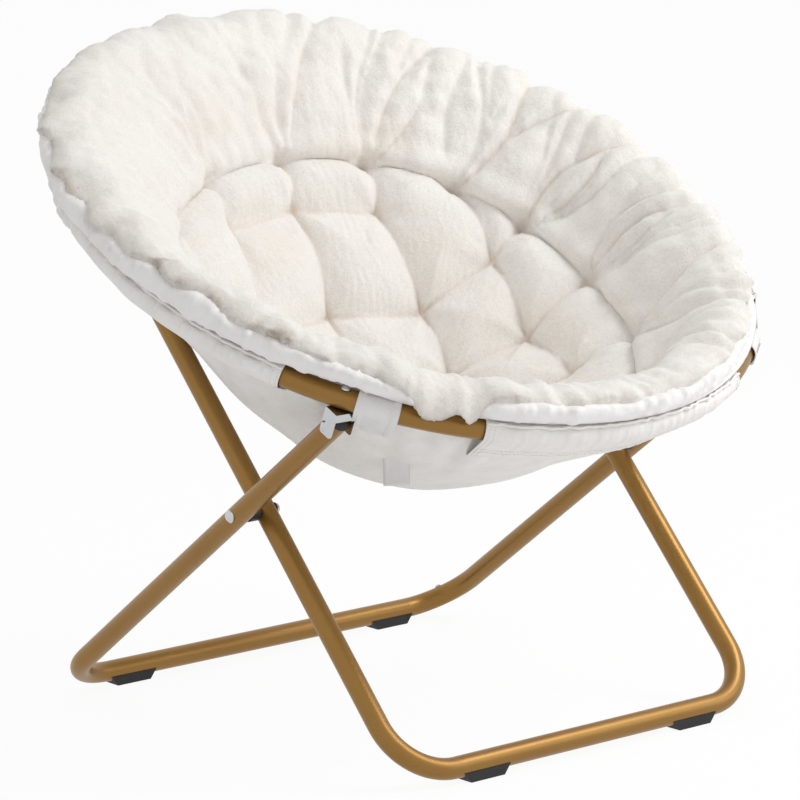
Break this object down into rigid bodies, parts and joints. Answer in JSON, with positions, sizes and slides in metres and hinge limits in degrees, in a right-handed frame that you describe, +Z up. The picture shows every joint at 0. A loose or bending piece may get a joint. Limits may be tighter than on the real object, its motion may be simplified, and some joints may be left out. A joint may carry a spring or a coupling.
{
  "type": "folding saucer chair",
  "caption": "Round folding lounge chair: a leaning hinged seat ring with a tufted fleecy bowl cushion, carried on two crossed tube leg frames that close like scissors.",
  "frame": {"origin": "on the floor under the middle of the chair's bounding box", "axes": "+Z up, the chair faces -Y, X across the chair with +X at the sitter's left hand"},
  "size_m": [0.8927, 0.8167, 0.805],
  "materials": {
    "gold_paint": "antique gold satin paint on steel tube",
    "zinc_steel": "bright zinc plated steel",
    "black_rubber": "moulded black rubber",
    "black_plastic": "moulded black plastic",
    "cover_fabric": "off-white woven polyester",
    "strap_fabric": "grey-white webbing loop with hemmed edges",
    "cushion_fur": "cream faux fur over fibre filling"
  },
  "bodies": {
    "rear_foot_frame": {"rear_foot_bar": "gold_paint", "rear_upright_left": "gold_paint", "rear_upright_right": "gold_paint", "rear_foot_pads": "black_rubber", "rear_frame_tube_plugs": "black_plastic", "corner_screws": "zinc_steel", "leg_pivot_bolts": "zinc_steel", "leg_pivot_nuts": "zinc_steel", "leg_pivot_spacers": "black_plastic"},
    "front_foot_frame": {"front_foot_bar": "gold_paint", "front_upright_left": "gold_paint", "front_upright_right": "gold_paint", "front_foot_pads": "black_rubber", "front_frame_tube_plugs": "black_plastic"},
    "ring_front": {"ring_front_arc": "gold_paint", "hinge_plates_front": "zinc_steel", "hinge_rivets": "zinc_steel", "front_brackets": "zinc_steel", "front_bracket_bolts": "zinc_steel", "front_bracket_nuts": "zinc_steel", "front_bracket_pins": "zinc_steel", "front_sleeve": "cover_fabric", "side_sleeves_front": "cover_fabric", "hinge_sleeves": "cover_fabric", "front_straps": "strap_fabric", "lift_loop": "cover_fabric", "sling_front": "cover_fabric", "cushion_front": "cushion_fur"},
    "ring_rear": {"ring_rear_arc": "gold_paint", "hinge_plates_rear": "zinc_steel", "rear_brackets": "zinc_steel", "rear_bracket_bolts": "zinc_steel", "rear_bracket_nuts": "zinc_steel", "rear_bracket_pins": "zinc_steel", "rear_sleeve": "cover_fabric", "rear_straps": "strap_fabric", "side_sleeves_rear": "cover_fabric", "sling_rear": "cover_fabric", "cushion_rear": "cushion_fur"}
  },
  "joints": [
    {"name": "leg_fold", "type": "hinge", "parent": "rear_foot_frame", "child": "front_foot_frame", "pos_m": [0, -0.04175, 0.28293], "axis": [1, 0, 0], "range_deg": [0, 90]},
    {"name": "front_bracket_pivot", "type": "hinge", "parent": "rear_foot_frame", "child": "ring_front", "pos_m": [0, -0.22324, 0.41322], "axis": [1, 0, 0], "range_deg": [0, 108.99]},
    {"name": "ring_fold", "type": "hinge", "parent": "ring_front", "child": "ring_rear", "pos_m": [0, 0.16345, 0.63216], "axis": [1, 0, 0], "range_deg": [-148.46, 0], "deforming": ["sling_front", "sling_rear", "cushion_front", "cushion_rear", "hinge_sleeves", "side_sleeves_front", "side_sleeves_rear"]}
  ],
  "couplings": [
    {"joint": "front_bracket_pivot", "follows": "leg_fold", "ratio": 1.2109},
    {"joint": "ring_fold", "follows": "leg_fold", "ratio": -1.6495}
  ]
}
